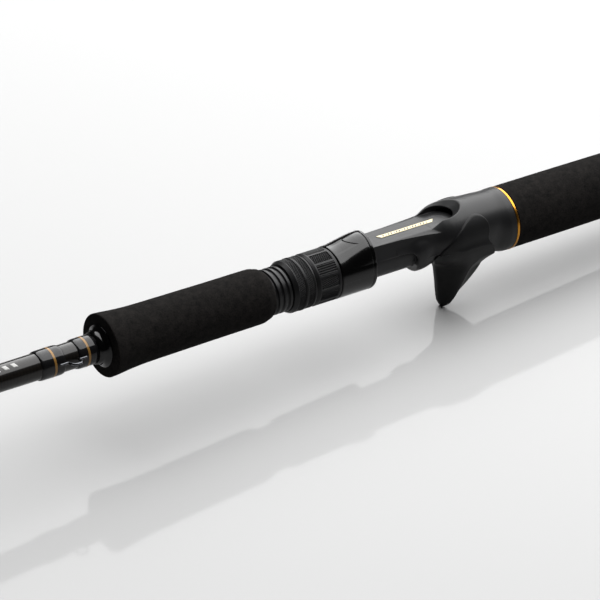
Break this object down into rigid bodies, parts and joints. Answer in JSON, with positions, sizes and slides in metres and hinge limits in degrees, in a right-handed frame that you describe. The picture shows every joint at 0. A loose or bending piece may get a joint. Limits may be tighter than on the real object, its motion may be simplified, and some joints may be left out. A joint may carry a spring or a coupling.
{
  "type": "fishing rod",
  "caption": "Casting rod in two sections with foam grips, a trigger reel seat with sliding hood and nuts, line guides and a tip-top.",
  "frame": {"origin": "centre of the flat end of the butt cap, on the blank's axis", "axes": "+X along the blank towards the tip, +Z on the side of the reel and the line guides, trigger on -Z"},
  "size_m": [1.98, 0.031, 0.0629],
  "materials": {
    "cap_rubber": "matte",
    "grip_foam": "matte closed-cell foam",
    "gold_trim": "polished gold",
    "seat_plastic": "soft-touch matte",
    "trigger_plastic": "satin",
    "inlay": "satin pale gold",
    "arbor_foam": "matte",
    "hood_plastic": "gloss",
    "nut_plastic": "satin, knurled",
    "wrap": "varnished thread",
    "frame_steel": "gunmetal plated steel",
    "ring_ceramic": "polished ceramic",
    "carbon": "clear-coated carbon fibre"
  },
  "bodies": {
    "handle": {"butt_cap": "cap_rubber", "rear_grip": "grip_foam", "rear_gold_ring": "gold_trim", "seat_body": "seat_plastic", "trigger": "trigger_plastic", "deck_inlay": "inlay", "rear_arbor": "arbor_foam", "front_arbor": "arbor_foam", "fore_grip": "grip_foam", "fore_check": "hood_plastic", "rear_trim_wrap": "wrap", "rear_trim_band": "gold_trim", "front_trim_wrap": "wrap", "front_trim_band": "gold_trim", "hook_keeper": "frame_steel", "butt_blank": "carbon", "guide_1_frame": "frame_steel", "guide_1_ring": "ring_ceramic", "guide_1_wraps": "wrap", "guide_2_frame": "frame_steel", "guide_2_ring": "ring_ceramic", "guide_2_wraps": "wrap"},
    "hood": {"hood": "hood_plastic"},
    "nut": {"clamp_nut": "nut_plastic", "lock_ring": "nut_plastic"},
    "tip_section": {"tip_blank": "carbon", "ferrule_wrap": "wrap", "ferrule_band": "gold_trim", "guide_3_frame": "frame_steel", "guide_3_ring": "ring_ceramic", "guide_3_wraps": "wrap", "guide_4_frame": "frame_steel", "guide_4_ring": "ring_ceramic", "guide_4_wraps": "wrap", "guide_5_frame": "frame_steel", "guide_5_ring": "ring_ceramic", "guide_5_wraps": "wrap", "guide_6_frame": "frame_steel", "guide_6_ring": "ring_ceramic", "guide_6_wraps": "wrap", "guide_7_frame": "frame_steel", "guide_7_ring": "ring_ceramic", "guide_7_wraps": "wrap", "guide_8_frame": "frame_steel", "guide_8_ring": "ring_ceramic", "guide_8_wraps": "wrap", "tip_top_frame": "frame_steel", "tip_top_ring": "ring_ceramic"}
  },
  "joints": [
    {"name": "hood_slide", "type": "slide", "parent": "handle", "child": "hood", "axis": [1, 0, 0], "range_m": [-0.006, 0.008]},
    {"name": "nut_turn", "type": "hinge", "parent": "hood", "child": "nut", "pos_m": [0.4125, 0, 0], "axis": [1, 0, 0], "range_deg": [-775, 1032]},
    {"name": "ferrule_pull", "type": "slide", "parent": "handle", "child": "tip_section", "axis": [1, 0, 0], "range_m": [0, 0.08]}
  ],
  "couplings": [
    {"joint": "nut_turn", "follows": "hood_slide", "rad_per_m": 2244}
  ]
}
